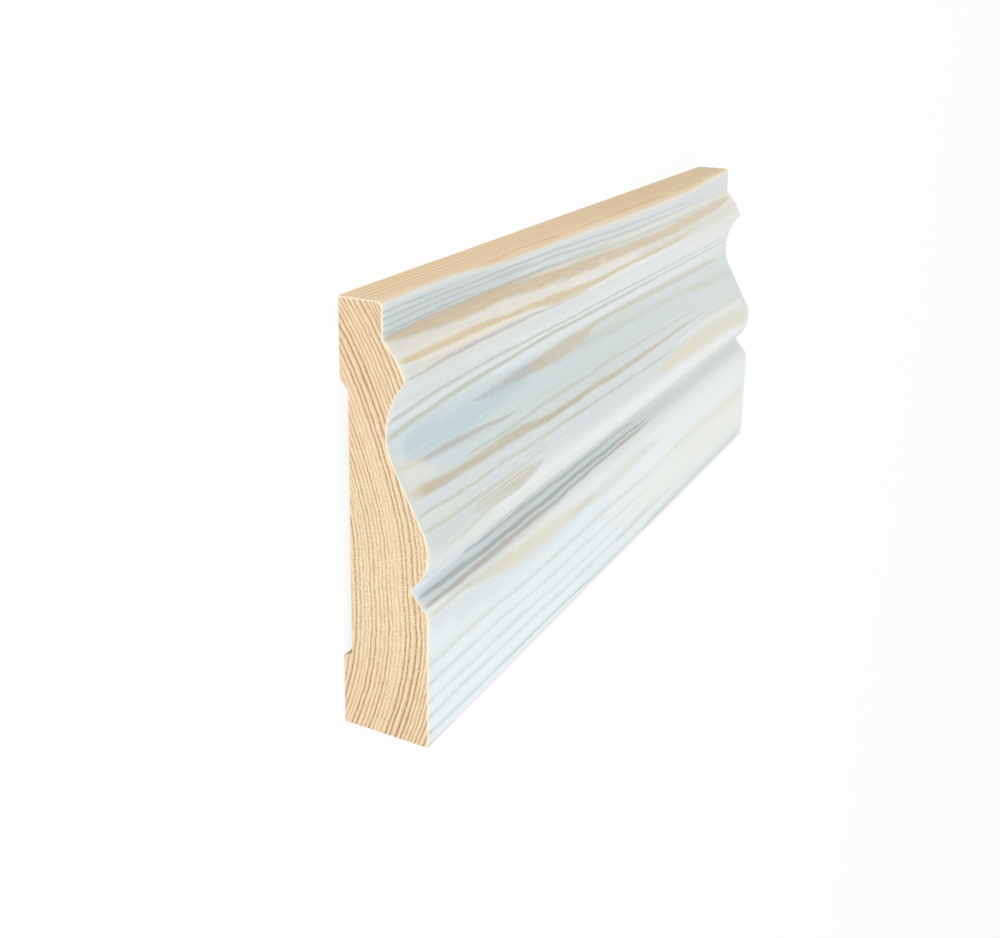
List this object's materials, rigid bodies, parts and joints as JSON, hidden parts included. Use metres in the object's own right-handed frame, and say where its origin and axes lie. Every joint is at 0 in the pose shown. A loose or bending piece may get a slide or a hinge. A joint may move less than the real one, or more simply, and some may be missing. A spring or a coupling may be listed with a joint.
{
  "type": "skirting board",
  "caption": "Short length of solid pine skirting board with a moulded, white-stained face, a thin top edge and a shallow channel along the back.",
  "frame": {"origin": "middle of the board's back, on the surface that the back lies on", "axes": "+X along the board, +Y up the board's face from its floor edge to its top edge, +Z out through the moulded face"},
  "size_m": [0.22, 0.095, 0.021],
  "materials": {
    "white_stained_pine": "thin white stain on the moulded face, bare planed wood elsewhere"
  },
  "bodies": {
    "root": {"skirting_board": "white_stained_pine"}
  },
  "joints": []
}
